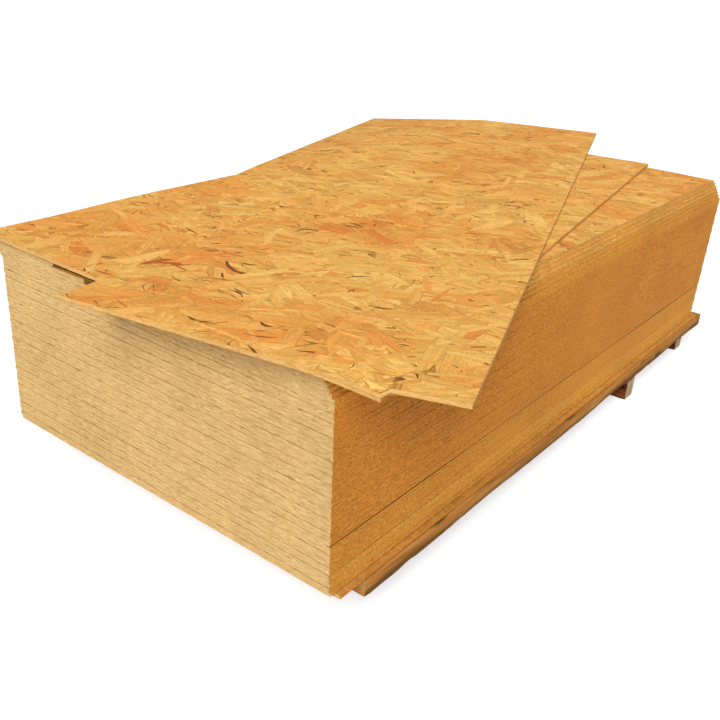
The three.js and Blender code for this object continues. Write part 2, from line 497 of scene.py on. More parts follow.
def sheet_body(sheet, thickness, rng, edges, sides, step, open_joint, broken_end):
    """A slab as rings of points: ring k is rim + inward * inset_k at height_k, and two caps close it. edges
    are the finishes of the four sides; sides get strands, so they have no broken arris; open_joint is how
    much more the low and the high arris of the near long side are broken; broken_end is the four places
    across where a break in the near end starts, is deep, stays deep and ends; step divides the caps of a
    sheet that isn't flat. Returns (vertices, faces, finish of each)."""
    length, width = sheet["length"], sheet["width"]
    places, inward, side, counts = rim(length, width, step or RIM_STEP)
    n = len(places)
    wander = SAW_WANDER * rng.uniform(0, 1, n)
    gone = np.zeros(n)
    if broken_end:
        gone = (side == 3) * np.interp(places[:, 1], broken_end, (0, BREAK_DEPTH, BREAK_DEPTH, 0))
    wander += gone
    low = broken_arris(side, rng)
    high = broken_arris(side, rng)
    low_open, high_open = (open_arris(opened, places, side) for opened in open_joint)
    insets = [low + wander + OPEN_INSET * low_open, wander, wander, high + wander + OPEN_INSET * high_open]
    if "under" in sides:
        insets[0] = wander
    if "top" in sides:
        insets[3] = wander
    heights = [np.zeros(n), ARRIS_HEIGHT * low + low_open, thickness - ARRIS_HEIGHT * high - high_open,
               np.full(n, thickness)]
    rings = [np.column_stack([places + inward * inset[:, None], height])
             for inset, height in zip(insets, heights)]
    i = np.arange(n)
    if step:
        u, v = np.meshgrid(*[np.linspace(0, size, c + 1)[1:-1] for size, c in zip((length, width), counts)],
                           indexing="ij")
        inside = np.column_stack([u.ravel(), v.ravel(), np.zeros(u.size)])
        rings += [inside, inside + (0, 0, thickness)]
        under = cap_grid(counts, i, 4 * n)[:, ::-1].tolist()
        over = cap_grid(counts, 3 * n + i, 4 * n + len(inside)).tolist()
    else:
        under, over = [i[::-1].tolist()], [(3 * n + i).tolist()]
    caps = [np.full(len(cap), MAT if name in sides else FACE)
            for cap, name in ((under, "under"), (over, "top"))]
    finish = np.concatenate([wall_finishes(side, edges, gone > DEEP_BREAK, open_joint), *caps])
    return np.vstack(rings), ring_walls(n).tolist() + under + over, finish


tried = sheet_body(strip, strip["top"] - strip["bottom"], np.random.default_rng(1), [END] * 4, (), 0,
                   (0, 0), ())
print("points of a flat strip's body:", len(tried[0]))

# %% [markdown]
# ## Strands
#
# The face of strand board is flakes of pine, sliced thin, dried, glued and pressed flat. They lie every
# way, with a lean across the sheet, and where a few of them fail to meet a dark slit is left. A picture of
# such a face could be painted by a noise pattern, but noise has no overlaps. So the face is laid as the
# mill lays it: each strand is a thin closed flake of its own, laid after and above those before it, all of
# one numpy array. Thin dark slivers of bark are laid among the last.

# %% The faces of a strand
STATIONS = 4


def strand_faces(count):
    """The 14 faces of each flake: top, bottom and both edges between its four stations, and its two
    ends."""
    left, right = np.arange(STATIONS), np.arange(STATIONS) + STATIONS
    low_left, low_right = left + 2 * STATIONS, right + 2 * STATIONS
    a, b = slice(0, STATIONS - 1), slice(1, STATIONS)
    one = np.vstack([
        np.column_stack([right[a], right[b], left[b], left[a]]),
        np.column_stack([low_left[a], low_left[b], low_right[b], low_right[a]]),
        np.column_stack([low_right[a], low_right[b], right[b], right[a]]),
        np.column_stack([low_left[b], low_left[a], left[a], left[b]]),
        [[low_left[0], low_right[0], right[0], left[0]], [low_right[-1], low_left[-1], left[-1], right[-1]]],
    ])
    return (one[None] + 4 * STATIONS * np.arange(count)[:, None, None]).reshape(-1, 4)


print("faces of a strand:", len(strand_faces(1)))

# %% [markdown]
# ## Drawing lots for the strands
#
# A mill sorts its strands only roughly, so their lengths, widths and turns are drawn by lot, with a fixed
# seed. Most are narrow, and the layers are laid until they cover the sheet five times over. A few strands
# of the sheets on top stand out, rust-coloured heartwood and slivers of bark, and those are placed one by
# one.

# %% Drawing lots
STRAND_LENGTH = (65 * MM, 190 * MM)
STRAND_WIDTH = (12 * MM, 62 * MM)
# Widths lean to the narrow by this power, the mean one is this share of the way to the widest, and a
# tapered strand fills this much of its rectangle.
NARROWNESS = 1.5
MEAN_WIDTH = 0.4
MEAN_FILL = 0.85
SLIVER_LENGTH = (14 * MM, 80 * MM)
SLIVER_WIDTH = (1.8 * MM, 8 * MM)
SLIVER_SHARE = 0.3
# When the slivers are laid, where 0 is with the first strand and 1 with the last.
SLIVER_ORDER = (0.55, 1)
DARK_SLIVERS = 0.45
# Tones, from 0 for bark over brown, golden and orange to 1 for rust.
SLIVER_TONE = (0.03, 0.12)
STRAND_TONE = (0.12, 0.975)
# How far the middle line is bowed, as a share of the length.
SLIVER_BEND, STRAND_BEND = 0.16, 0.05
COVERAGE = 5.2
STRAND_AXIS = math.radians(97)
LEAN = math.radians(38)
# What is left of the width at the stations, from one end to the other.
END_TAPER = (0.25, 1)
WAIST_TAPER = (0.8, 1)
SLIVER_TAPER = (0.3, 1, 1, 0.3)
MARKED_TAPER = (0.35, 1, 1, 0.35)
RUST, PALE_RUST, BARK = 1.0, 0.94, 0.0
# Strands placed one by one, in metres and degrees: u, v, length, width, turn, bend and tone.
MARKED = {
    "loose_sheet_lower": [
        (0.295, 0.785, 0.150, 0.036, -72, 0.34, RUST),
        (0.405, 0.634, 0.118, 0.011, 61, 0.12, BARK),
        (0.253, 0.530, 0.060, 0.008, 72, -0.2, BARK),
        (0.076, 0.501, 0.066, 0.008, 94, 0.15, BARK),
        (0.140, 0.360, 0.042, 0.010, 80, 0.2, BARK),
    ],
    stack_names[-1]: [(0.310, 1.010, 0.135, 0.030, -78, 0.1, PALE_RUST)],
}


def between(limits, share):
    """The value at a share from 0 to 1 of the way: low + share * (high - low)."""
    return limits[0] + share * (limits[1] - limits[0])


def draw_strands(length, width, rng, marked):
    """Lots for the strands of a rectangle: as many as cover it COVERAGE times, and slivers after them. The
    last are the marked ones, rows of (u, v, length, width, degrees, bend, tone)."""
    mean_area = MEAN_FILL * np.mean(STRAND_LENGTH) * between(STRAND_WIDTH, MEAN_WIDTH)
    margin = STRAND_LENGTH[1] / 2
    wide_count = int(COVERAGE * (length + 2 * margin) * (width + 2 * margin) / mean_area)
    count = wide_count + int(SLIVER_SHARE * wide_count)
    sliver = np.arange(count) >= wide_count
    share = rng.uniform(0, 1, count) ** NARROWNESS
    long = np.where(sliver, rng.uniform(*SLIVER_LENGTH, count), rng.uniform(*STRAND_LENGTH, count))
    wide = np.where(sliver, between(SLIVER_WIDTH, share), between(STRAND_WIDTH, share))
    angle = rng.normal(STRAND_AXIS, LEAN, count)
    centre = rng.uniform((-margin, -margin), (length + margin, width + margin), (count, 2))
    taper = np.ones((count, STATIONS))
    taper[:, 0] = rng.uniform(*END_TAPER, count)
    taper[:, -1] = rng.uniform(*END_TAPER, count)
    taper[:, 1:-1] *= rng.uniform(*WAIST_TAPER, (count, STATIONS - 2))
    taper[sliver] *= SLIVER_TAPER
    bend = np.where(sliver, SLIVER_BEND, STRAND_BEND) * rng.normal(0, 1, count)
    order = np.where(sliver, rng.uniform(*SLIVER_ORDER, count), np.arange(count) / wide_count)
    dark = rng.uniform(0, 1, count) < DARK_SLIVERS
    sliver_tone = np.where(dark, 0, rng.uniform(*SLIVER_TONE, count))
    tone = np.where(sliver, sliver_tone, rng.uniform(*STRAND_TONE, count))
    if len(marked):
        last = slice(count - len(marked), count)
        u, v, long[last], wide[last], degrees, bend[last], tone[last] = np.array(marked).T
        centre[last] = np.column_stack([u, v])
        angle[last] = np.radians(degrees)
        order[last] = 1
        taper[last] = MARKED_TAPER
    return {"long": long, "wide": wide, "angle": angle, "centre": centre, "taper": taper, "bend": bend,
            "order": order, "tone": tone}


print("strands on a square metre:", len(draw_strands(1, 1, np.random.default_rng(1), ())["long"]))

# %% [markdown]
# ## Shaping the strands
#
# A flake is a strip with four stations along it. Its middle line is a little bowed, its ends are cut askew,
# and it rises a little from tip to tip and from edge to edge, as the flakes under it are never quite level.
# The later a flake was laid, the higher it lies.

# %% Shaping the strands
STRAND_THICKNESS = 0.45 * MM
MAT_DEPTH = 1.5 * MM
LAID_DEPTH = 0.72 * MAT_DEPTH
TOP_DEPTH = 0.16 * MM
TIP_RISE = 0.07 * MM
# How much an end is cut askew, as a share of the width.
SKEW = 0.25
# Each strand's grain starts at a place of its own within this many metres of a long pattern.
SEED_REACH = 10


def lay_strands(length, width, rng, marked):
    """Flakes over a rectangle, the face at height 0: along a flake, place = centre + t * length, its middle
    line is bowed by bend * length * (1 - 4 t squared), and its edges stand half a width to each side.
    Returns vertices, tone, and grain places as (along, across, 1 at one edge and -1 at the other)."""
    lots = draw_strands(length, width, rng, marked)
    long, wide, order = lots["long"][:, None], lots["wide"][:, None], lots["order"]
    count = len(order)
    t = np.linspace(-0.5, 0.5, STATIONS)
    bow = lots["bend"][:, None] * long * (1 - 4 * t**2)
    middle = t * long
    skew = rng.normal(0, SKEW, (count, STATIONS)) * wide
    half = 0.5 * wide * lots["taper"]
    u = np.stack([middle + skew, middle - skew], 1)
    v = np.stack([bow + half, bow - half], 1)
    c, s = np.cos(lots["angle"])[:, None, None], np.sin(lots["angle"])[:, None, None]
    x = lots["centre"][:, 0, None, None] + c * u - s * v
    y = lots["centre"][:, 1, None, None] + s * u + c * v
    deep = -LAID_DEPTH * (1 - order) - TOP_DEPTH
    tip = rng.uniform(-1, 1, (count, 2)) * TIP_RISE
    edge = np.array([1, -1])[None, :, None]
    top = deep[:, None, None] + tip[:, :1, None] * (t / 0.5) + tip[:, 1:, None] * edge
    high = np.stack([x, y, top], -1)
    low = np.stack([x, y, top - STRAND_THICKNESS], -1)
    seed = rng.uniform(0, SEED_REACH, (count, 1, 1))
    grain = np.stack([u + seed, v, np.broadcast_to(edge, u.shape)], -1)
    each = (count, 4 * STATIONS)
    return (np.concatenate([high, low], 1).reshape(*each, 3), np.broadcast_to(lots["tone"][:, None], each),
            np.concatenate([grain, grain], 1).reshape(*each, 3))


laid = lay_strands(1, 1, np.random.default_rng(1), ())[0]
print("strands lie from %.2f to %.2f mm" % (laid[..., 2].min() / MM, laid[..., 2].max() / MM))

# %% [markdown]
# ## Which strands show
#
# Deep between two sheets no strand is ever seen, so none is kept there, which saves a third of the
# triangles. The sheet's own body fills the place. A strand stays if its middle is less than 130 mm inside
# the other sheet's edge.

# %% Which strands show
LAID = (top_sheet, lower_sheet, middle_sheet, strip)
HIDDEN_DEPTH = 130 * MM


def uncovered(sheet, side, u, v):
    """Whether places on a side aren't deep under, or over, another sheet: the distance from that one's
    nearest edge, the least of four, is less than HIDDEN_DEPTH."""
    plan = to_place(sheet, u, v)
    shown = np.full(len(plan), True)
    for other in LAID:
        above = other["bottom"] - sheet["bottom"]
        if (above > MM and side == "top") or (above < -MM and side == "under"):
            along, across = local(plan, other)
            inside = np.minimum.reduce([along, other["length"] - along, across, other["width"] - across])
            shown &= inside < HIDDEN_DEPTH
    return shown


tried = uncovered(lower_sheet, "under", *(np.array([0, lower_sheet[s] / 2]) for s in ("length", "width")))
print("the lower sheet's underside shows at its near corner and its middle:", tried.tolist())

# %% [markdown]
# ## Trimming
#
# Most strands lie well inside the sheet and are kept as they are. Those that reach over a saw line are cut
# there with bmesh, and each cut is closed again, so every flake stays a closed body. Two attributes travel
# with each point: the tone of its strand, and its place in the grain, which the material reads.


# %% Trimming
def give_tone_and_grain(mesh, tone, grain):
    """Writes the tone, a number, and the grain place, three numbers, of each point."""
    tones = mesh.attributes.new("tone", "FLOAT", "POINT")
    tones.data.foreach_set("value", tone.astype(np.float32).ravel())
    grains = mesh.attributes.new("grain", "FLOAT_VECTOR", "POINT")
    grains.data.foreach_set("vector", grain.astype(np.float32).ravel())


def trimmed(vertices, tone, grain, length, width):
    """Cuts flakes at the four saw lines, closes each cut, and returns vertices, faces, tone and grain."""
    mesh = bpy.data.meshes.new("trim")
    mesh.from_pydata(vertices.reshape(-1, 3).tolist(), [], strand_faces(len(vertices)).tolist())
    give_tone_and_grain(mesh, tone, grain)
    work = bmesh.new()
    work.from_mesh(mesh)
    for place, normal in (((0, 0, 0), (-1, 0, 0)), ((length, 0, 0), (1, 0, 0)),
                          ((0, 0, 0), (0, -1, 0)), ((0, width, 0), (0, 1, 0))):
        geometry = [*work.verts, *work.edges, *work.faces]
        bmesh.ops.bisect_plane(work, geom=geometry, plane_co=place, plane_no=normal, clear_outer=True)
        bmesh.ops.holes_fill(work, edges=[e for e in work.edges if e.is_boundary], sides=0)
    bmesh.ops.delete(work, geom=[v for v in work.verts if not v.link_faces], context="VERTS")
    work.to_mesh(mesh)
    work.free()
    count = len(mesh.vertices)
    places, tones, grains = np.empty(3 * count), np.empty(count), np.empty(3 * count)
    mesh.vertices.foreach_get("co", places)
    mesh.attributes["tone"].data.foreach_get("value", tones)
    mesh.attributes["grain"].data.foreach_get("vector", grains)
    faces = [tuple(p.vertices) for p in mesh.polygons]
    bpy.data.meshes.remove(mesh)
    return places.reshape(-1, 3), faces, tones, grains.reshape(-1, 3)


def strand_layer(sheet, side, rng, marked):
    """The flakes of a sheet's top or under side that show, trimmed to it: vertices as (u, v, height over
    that side), faces, tone and grain. Under the sheet they are turned over: v becomes width - v, and up is
    down."""
    length, width = sheet["length"], sheet["width"]
    vertices, tone, grain = lay_strands(length, width, rng, marked)
    u, v = vertices[:, :, :2].mean(1).T
    shown = uncovered(sheet, side, u, width - v if side == "under" else v)
    vertices, tone, grain = vertices[shown], tone[shown], grain[shown]
    size = np.array([length, width])
    plan = vertices[:, :, :2]
    inside = ((plan >= 0) & (plan <= size)).all((1, 2))
    reaching = ~inside & (plan.max(1) > 0).all(1) & (plan.min(1) < size).all(1)
    places, faces, tones, grains = trimmed(vertices[reaching], tone[reaching], grain[reaching], length, width)
    whole = strand_faces(int(inside.sum())) + len(places)
    places = np.vstack([places, vertices[inside].reshape(-1, 3)])
    if side == "under":
        places = np.column_stack([places[:, 0], width - places[:, 1], -places[:, 2]])
    return (places, faces + whole.tolist(), np.concatenate([tones, tone[inside].ravel()]),
            np.vstack([grains, grain[inside].reshape(-1, 3)]))


print("points of the strip's top strands:", len(strand_layer(strip, "top", np.random.default_rng(1), ())[0]))

# %% [markdown]
# ## How the sheets on top lie
#
# Board that is left in a yard doesn't stay flat. The lower loose sheet's near corner has been knocked down
# over the pack's corner, with the strip's corner that lies on it. The pack's own top sheet has lifted
# beside the loose sheets until it meets the middle one. Each is a smooth function of the place in plan that
# moves every point of a sheet up or down.

# %% Bends of the sheets on top
# The knocked corner: its drop, where across the strip's end it is deepest and ends, and how far it reaches
# in.
CORNER_DROP = 19 * MM
CORNER_WIDTH = (178 * MM, 194 * MM)
CORNER_DEPTH = 170 * MM
CORNER_START = 10 * MM
CORNER_FADE = 60 * MM
CORNER_CURVE = 1.3
CORNER_MOST = 1.2
# The lift of the top sheet: its height, and how soon it is reached, across and along.
LIFT = 11.9 * MM
LIFT_REACH = 20 * MM
LIFT_START, LIFT_LENGTH = 150 * MM, 450 * MM


def ease(x):
    """A smooth step from 0 to 1 as x goes from 0 to 1: 3 x squared - 2 x cubed."""
    x = np.clip(x, 0, 1)
    return x * x * (3 - 2 * x)


def knocked_corner(plan):
    """How far the lower sheet and the strip on it are bent down over the pack's corner: along the strip's
    near end it grows evenly from its far corner to a crack, and it fades inwards and over the pack
    itself."""
    inwards, across = local(plan, strip)
    share = np.interp(strip["width"] - across, (0, *CORNER_WIDTH), (0, 1, 0))
    outside = ease((top_sheet["near"][1] + CORNER_START - plan[:, 1]) / CORNER_FADE)
    fade = np.clip(1 - inwards / CORNER_DEPTH, 0, CORNER_MOST) ** CORNER_CURVE
    return CORNER_DROP * share * outside * fade


def lifted_face(plan):
    """How far the top sheet is lifted, as a negative sag: nothing under the lower sheet nor at the near
    end, then up past the lower sheet's far long edge as the middle sheet comes near, as far as that one
    leaves room."""
    beyond = local(plan, lower_sheet)[1] - lower_sheet["width"]
    along = local(plan, top_sheet)[0]
    room = LIFT - np.interp(plan[:, 1], *middle_sheet["fall"])
    return -room * ease(beyond / LIFT_REACH) * ease((along - LIFT_START) / LIFT_LENGTH)


sags = {"loose_sheet_lower": knocked_corner, "loose_sheet_upper": knocked_corner,
        stack_names[-1]: lifted_face}
steps = {"loose_sheet_lower": FINE_STEP, "loose_sheet_upper": FINE_STEP, stack_names[-1]: SAG_STEP,
         "loose_sheet_middle": SAG_STEP}
print("the knocked corner drops %.0f mm" % (knocked_corner(lower_sheet["near"][None])[0] / MM))

# %% [markdown]
# ## Worn and askew ends
#
# The middle sheet's near end is worn down to a feather, so that its face runs on into the sheet below, and
# so is the corner of the strip beside it. The strip's near end wasn't cut square: its points are moved
# along the strip, more towards its far corner, and less and less further in.

# %% Worn and askew ends
# The share of the thickness that is worn away, and how far the wear reaches.
FEATHER = 0.9
FEATHER_LENGTH = 260 * MM
FEATHER_START = 90 * MM
WORN_CORNER = (200 * MM, 150 * MM)
ASKEW = 37 * MM
ASKEW_FROM = 166 * MM
ASKEW_REACH = 300 * MM


def feathered_end(plan):
    """The share of its thickness that the middle sheet loses: most at its near end, past the strip's
    corner."""
    along, across = local(plan, middle_sheet)
    return FEATHER * (1 - ease(along / FEATHER_LENGTH)) * ease((across - strip["width"]) / FEATHER_START)


def feathered_corner(plan):
    """The share of its thickness that the strip loses at its near end's far corner."""
    along, across = local(plan, strip)
    from_far = strip["width"] - across
    return FEATHER * (1 - ease(along / WORN_CORNER[0])) * (1 - ease(from_far / WORN_CORNER[1]))


def askew_end(u, v):
    """How far the strip's points move along it: ASKEW, times the share of the way from ASKEW_FROM to the
    far corner, times what is left of ASKEW_REACH."""
    share = np.clip((v - ASKEW_FROM) / (strip["width"] - ASKEW_FROM), 0, 1)
    return ASKEW * share * np.clip(1 - u / ASKEW_REACH, 0, 1)


thinning = {"loose_sheet_middle": feathered_end, "loose_sheet_upper": feathered_corner}
print("the strip's near end is %.0f mm askew" % (askew_end(0, strip["width"]) / MM))

# %% [markdown]
# ## The finish of pine strands
#
# Strands are sliced pine, waxed and pressed hot, so they have a dull sheen and each keeps its own tone:
# most are golden, some orange where they came from heartwood, a few pale or brown. Within a strand run the
# fine lines of its grain, and its thin edges are painted darker, as painted shade at the small step where a
# flake lies over the next. The tone picks the colour; the grain and the edge, which the grain place's third
# number tells, only lighten or darken it. The lines of real pine are finer than a pixel here, so they are
# drawn about 6 mm apart.


# %% The finish of pine strands
def strand_finish():
    """Pressed pine: the tone through a colour ramp, times the lines of the grain, its edge darkened as painted
    shade, a mottle of the face and a warm patch here and there. To the eye it is a dull golden face of
    overlapping flakes."""
    material, tree, shader = new_material("pressed_pine_strand")
    tone = add(tree, "ShaderNodeAttribute", attribute_name="tone")
    grain = add(tree, "ShaderNodeAttribute", attribute_name="grain")
    place = add(tree, "ShaderNodeTexCoord")
    colour = add(tree, "ShaderNodeValToRGB", links={"Fac": tone.outputs["Fac"]}, stops=[
        (0.0, "#81521F"), (0.02, "#81521F"), (0.03, "#BC8139"), (0.1, "#D59747"), (0.2, "#E5A952"),
        (0.45, "#EFB55A"), (0.66, "#F4BC62"), (0.82, "#FBC76E"), (0.88, "#F5B156"), (0.94, "#EDA14A"),
        (0.975, "#E59345"), (0.985, "#CC7935"), (1.0, "#C06A2B")])
    lines = add(tree, "ShaderNodeMapping", {"Scale": (fits(71.4), fits(5.88), 0)},
                {"Vector": grain.outputs["Vector"]})
    lines = add(tree, "ShaderNodeTexNoise", {"Scale": 1.0, "Detail": 3.0, "Roughness": 0.6},
                {"Vector": lines.outputs["Vector"]})
    band = add(tree, "ShaderNodeMapping", {"Scale": (fits(166.7), fits(16.7), 0)},
               {"Vector": grain.outputs["Vector"]})
    band = add(tree, "ShaderNodeTexNoise", {"Scale": 1.0, "Detail": 2.0}, {"Vector": band.outputs["Vector"]})
    grain_place = add(tree, "ShaderNodeSeparateXYZ", links={"Vector": grain.outputs["Vector"]})
    from_middle = add(tree, "ShaderNodeMath", {}, {0: grain_place.outputs["Z"]}, operation="ABSOLUTE")
    speck = add(tree, "ShaderNodeTexNoise", {"Scale": fits(8.33), "Detail": 3.0, "Roughness": 0.7},
                {"Vector": place.outputs["Object"]})
    shaded = colour.outputs["Color"]
    # The third pattern darkens the edges of each flake: painted shade.
    for pattern, seen, made in ((lines.outputs["Fac"], (0.3, 0.7), (0.83, 1.12)),
                                (band.outputs["Fac"], (0.3, 0.7), (0.93, 1.06)),
                                (from_middle.outputs[0], (0.84, 1.0), (1.0, 0.7)),
                                (speck.outputs["Fac"], (0.3, 0.7), (0.86, 1.13))):
        shaded = shade_by(tree, shaded, pattern, seen, made)
    patch = add(tree, "ShaderNodeTexNoise", {"Scale": fits(294), "Detail": 2.0},
                {"Vector": place.outputs["Object"]})
    warm = add(tree, "ShaderNodeMapRange",
               {"From Min": 0.42, "From Max": 0.66, "To Min": 0.0, "To Max": 0.62},
               {"Value": patch.outputs["Fac"]})
    mixed = add(tree, "ShaderNodeMix", {7: tint("#F6D2B6")},
                {0: warm.outputs["Result"], 6: shaded}, data_type="RGBA", blend_type="MULTIPLY")
    complete(tree, shader, mixed.outputs[2], 0.62, 0.16, lines.outputs["Fac"], 0.25, 0.4 * MM)
    return material


board_strand = strand_finish()
print("finish:", board_strand.name)

# %% [markdown]
# ## The mat in the slits
#
# Where strands fail to meet, the mat under them is seen: darker, because it lies in shade and holds more
# glue.


# %% The mat in the slits
def mat_finish():
    """Glued flakes seen down a slit: a mottle with features of some 38 mm, through three browns."""
    material, tree, shader = new_material("glued_strand_mat")
    place = add(tree, "ShaderNodeTexCoord")
    mottle = add(tree, "ShaderNodeTexNoise", {"Scale": fits(38.5), "Detail": 3.0},
                 {"Vector": place.outputs["Object"]})
    colour = add(tree, "ShaderNodeValToRGB", links={"Fac": mottle.outputs["Fac"]},
                 stops=[(0.35, "#A07030"), (0.52, "#BC863E"), (0.68, "#D29A4E")])
    complete(tree, shader, colour.outputs["Color"], 0.8, 0.15)
    return material


board_mat = mat_finish()
print("finish:", board_mat.name)

# %% [markdown]
# ## Sawn edges and faces
#
# The saw goes through the strands, so an edge shows them end-on as flat streaks, two millimetres or so
# thick and ten or twenty millimetres long, with small dark voids between. One function makes every sawn
# finish from its colours and the size of its streaks.


# %% A sawn finish
def sawn_finish(name, stops, void, void_share, streak):
    """Streaks flat in the sheet: noise on places scaled by the streak's three sizes in millimetres, through
    the stops, and darker speckles of void where a finer noise passes void_share."""
    material, tree, shader = new_material(name)
    place = add(tree, "ShaderNodeTexCoord")
    flat = add(tree, "ShaderNodeMapping", {"Scale": [fits(size) for size in streak]},
               {"Vector": place.outputs["Object"]})
    streaks = add(tree, "ShaderNodeTexNoise", {"Scale": 1.0, "Detail": 4.0, "Roughness": 0.66},
                  {"Vector": flat.outputs["Vector"]})
    colour = add(tree, "ShaderNodeValToRGB", links={"Fac": streaks.outputs["Fac"]}, stops=stops)
    spots = add(tree, "ShaderNodeMapping", {"Scale": (fits(11.76), fits(11.76), fits(3.333))},
                {"Vector": place.outputs["Object"]})
    spots = add(tree, "ShaderNodeTexNoise", {"Scale": 1.0, "Detail": 2.0, "Roughness": 0.5},
                {"Vector": spots.outputs["Vector"]})
    mask = add(tree, "ShaderNodeMapRange", {"From Min": void_share, "From Max": void_share + 0.07},
               {"Value": spots.outputs["Fac"]})
    patch = add(tree, "ShaderNodeTexNoise", {"Scale": fits(222), "Detail": 2.0},
                {"Vector": place.outputs["Object"]})
    shaded = shade_by(tree, colour.outputs["Color"], patch.outputs["Fac"], (0.3, 0.7), (0.93, 1.06))
    mixed = add(tree, "ShaderNodeMix", {7: tint(void)}, {0: mask.outputs["Result"], 6: shaded},
                data_type="RGBA")
    complete(tree, shader, mixed.outputs[2], 0.75, 0.15, streaks.outputs["Fac"], 0.3, 0.6 * MM)
    return material


# %% [markdown]
# ## The sawn finishes of the boards
#
# The ends are cut across most strands and are pale. The long sides, cut along the lean of the strands, are
# more orange and mottled. The pack was made up of smaller ones whose sides differ a little in tone. The long
# sides of the topmost sheets are painted lighter, as painted light on the stair that they make, and the
# dark lines between sheets and the walls of open joints and breaks are painted shade. Strands of one or
# two millimetres are about as fine as shows from here.

# %% The boards' finishes
# Golden pine, rubbed smooth: the worn end of the middle sheet.
board_face = sawn_finish("pressed_board_face", [(0.3, "#B4823C"), (0.45, "#C89848"), (0.6, "#D2A354"),
                                                (0.72, "#DCAE62")], "#8A5A26", 0.7, (45.45, 45.45, 16.67))
# Pale end grain with flat streaks 2 mm thick: the ends of the pack.
board_end = sawn_finish("sawn_board_end", [(0.33, "#A9844E"), (0.45, "#C5A065"), (0.57, "#D3B075"),
                                           (0.71, "#E6C996")], "#977246", 0.665, (21.74, 21.74, 1.923))
# Orange wood with a short mottle: the long sides, and a shade lighter in the two packs at the bottom. The
# two lighter ones are also painted light on the long sides of the four sheets under the topmost four.
SIDE_STREAK = (9.091, 9.091, 3.571)
board_side = sawn_finish("sawn_board_side", [(0.32, "#AB6218"), (0.46, "#CC812B"), (0.58, "#DD9137"),
                                             (0.72, "#EDA64B")], "#905417", 0.66, SIDE_STREAK)
mid_pack_side_and_painted_light = sawn_finish("sawn_side_of_the_middle_pack_and_painted_light",
                             [(0.32, "#AE681C"), (0.46, "#D18A2F"), (0.58, "#E19A3D"), (0.72, "#F1B053")],
                             "#935A1A", 0.66, SIDE_STREAK)
low_pack_side_and_painted_light = sawn_finish("sawn_side_of_the_low_pack_and_painted_light",
                             [(0.32, "#B47121"), (0.46, "#D89538"), (0.58, "#E8A747"), (0.72, "#F9BE60")],
                             "#98621F", 0.66, SIDE_STREAK)
# The same wood painted paler, with longer streaks, as painted light: the sides of the topmost sheets, lit
# from above on the stair that they make.
painted_light_top_side = sawn_finish("painted_light_board_side",
                             [(0.34, "#BC8636"), (0.47, "#D69C48"), (0.58, "#E4AC56"), (0.7, "#F0BC6A")],
                             "#946628", 0.68, (16.67, 16.67, 2.381))
# Brown wood without streaks, painted shade: the dark line between two sheets, and the strips of face
# between them.
painted_shade_arris = sawn_finish("broken_board_arris_painted_shade", [(0.4, "#94723E"), (0.5, "#A8844C"), (0.62, "#C29C60")],
                          "#6E5230", 0.66, (71.43, 71.43, 71.43))
# Clean golden wood: the edges of the loose sheets, pale on every side, and the ends of the top sheet.
board_cut = sawn_finish("pale_golden_board_edge", [(0.32, "#B48646"), (0.45, "#D0A05C"), (0.6, "#DCAE6A"),
                                                   (0.75, "#E6BC7E")], "#94642C", 0.66, (20.83, 20.83, 1.786))
# A browner face: where a sheet stands out under the next one as a ledge.
board_ledge = sawn_finish("brown_board_ledge", [(0.35, "#AC7632"), (0.5, "#BE883E"), (0.66, "#CC964A")],
                          "#8A5E28", 0.68, (16.67, 16.67, 16.67))
# Dust and painted shade: the walls of a wide joint; painted shade: the walls of a deep break.
dust_and_painted_shade_wall = sawn_finish("open_joint_dust_and_painted_shade", [(0.35, "#5A4220"), (0.5, "#6C5028"), (0.66, "#826234")],
                              "#463214", 0.68, (16.67, 16.67, 16.67))
# In the order of the finish numbers.
board_finishes = (board_face, board_end, board_side, painted_shade_arris, board_cut, board_strand, board_mat,
                  board_ledge, painted_light_top_side, dust_and_painted_shade_wall, mid_pack_side_and_painted_light, low_pack_side_and_painted_light)
print("board finishes:", [m.name for m in board_finishes])

# %% [markdown]
# ## Putting a sheet together
#
# The body and the strands become one mesh: the body is thinner by the strands' depth on each face that has
# them. The heights then follow the solid's own bend and the sheet's sag.


# %% Putting a sheet together
def mesh_piece(name, vertices, faces, finish, materials, tone, grain):
    """A mesh object from arrays, with a finish for each face and the tone and grain of each point."""
    mesh = bpy.data.meshes.new(name)
    mesh.from_pydata(vertices.tolist(), [], faces)
    give_tone_and_grain(mesh, tone, grain)
    for material in materials:
        mesh.materials.append(material)
    mesh.polygons.foreach_set("material_index", finish.astype(np.int32))
    piece = bpy.data.objects.new(name, mesh)
    scene.collection.objects.link(piece)
    return piece


